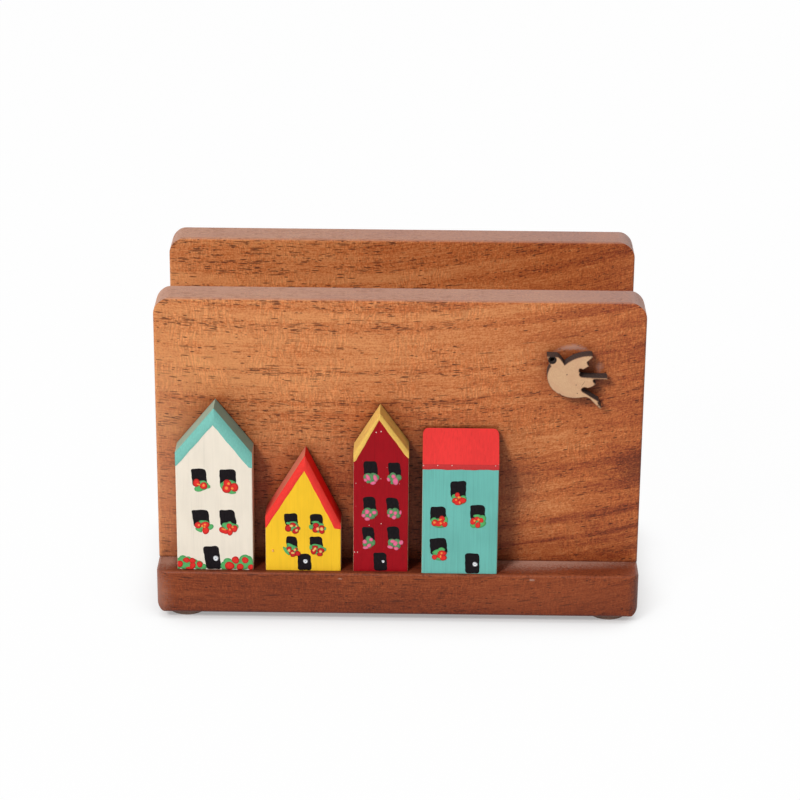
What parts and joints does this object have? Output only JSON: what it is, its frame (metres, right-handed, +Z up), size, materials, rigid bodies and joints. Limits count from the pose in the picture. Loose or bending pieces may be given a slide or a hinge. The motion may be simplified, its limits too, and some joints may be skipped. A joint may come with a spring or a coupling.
{
  "type": "napkin holder",
  "caption": "Wooden tabletop napkin holder: two upright panels on a thick board, with a street of painted house blocks and a small bird on the front.",
  "frame": {"origin": "middle of the board, on the surface under the feet", "axes": "+X from left to right along the panels, +Y from the houses towards the back panel, +Z up"},
  "size_m": [0.16, 0.085, 0.1095],
  "materials": {
    "panel_wood": "oiled hardwood with a satin lacquer",
    "base_wood": "darker oiled hardwood with a satin lacquer",
    "cream_paint": "brushed matt paint on wood",
    "yellow_paint": "brushed matt paint on wood",
    "crimson_paint": "brushed matt paint on wood",
    "teal_paint": "brushed matt paint on wood",
    "fibreboard": "raw medium-density fibreboard with laser-burnt edges",
    "pad_rubber": "brown moulded rubber",
    "screw_steel": "zinc-plated steel"
  },
  "bodies": {
    "root": {"base_board": "base_wood", "front_panel": "panel_wood", "back_panel": "panel_wood", "cream_house": "cream_paint", "yellow_house": "yellow_paint", "crimson_house": "crimson_paint", "teal_house": "teal_paint", "bird": "fibreboard", "foot_front_left": "pad_rubber", "foot_front_right": "pad_rubber", "foot_back_left": "pad_rubber", "foot_back_right": "pad_rubber", "panel_screws": "screw_steel"}
  },
  "joints": []
}
